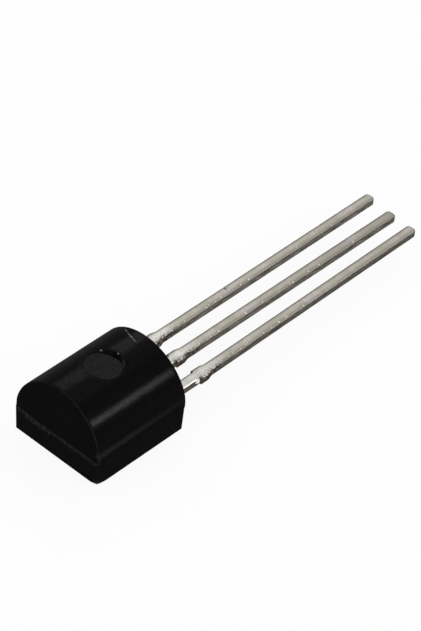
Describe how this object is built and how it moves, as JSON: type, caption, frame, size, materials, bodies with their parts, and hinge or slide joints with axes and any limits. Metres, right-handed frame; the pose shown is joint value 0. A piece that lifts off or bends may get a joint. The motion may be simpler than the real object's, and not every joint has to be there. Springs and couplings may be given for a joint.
{
  "type": "to-92 transistor",
  "caption": "Through-hole transistor: a black D-shaped moulded package with a flat side and an ejector-pin mark, on a row of straight tin-plated leads with dam-bar stubs.",
  "frame": {"origin": "middle of the flat side of the moulded body, which the part lies on", "axes": "+Y along the leads towards their tips, +Z from the flat side to the round crown, X across the row of leads, emitter at -X and base at +X"},
  "size_m": [0.0044, 0.0196, 0.0033],
  "materials": {
    "moulding_resin": "satin",
    "tin_plating": "satin",
    "silicon": "polished",
    "die_adhesive": "matte",
    "gold_wire": "gloss"
  },
  "bodies": {
    "root": {"moulded_body": "moulding_resin", "emitter_lead": "tin_plating", "collector_lead": "tin_plating", "base_lead": "tin_plating", "silicon_die": "silicon", "die_attach": "die_adhesive", "emitter_bond_wire": "gold_wire", "base_bond_wire": "gold_wire"}
  },
  "joints": []
}
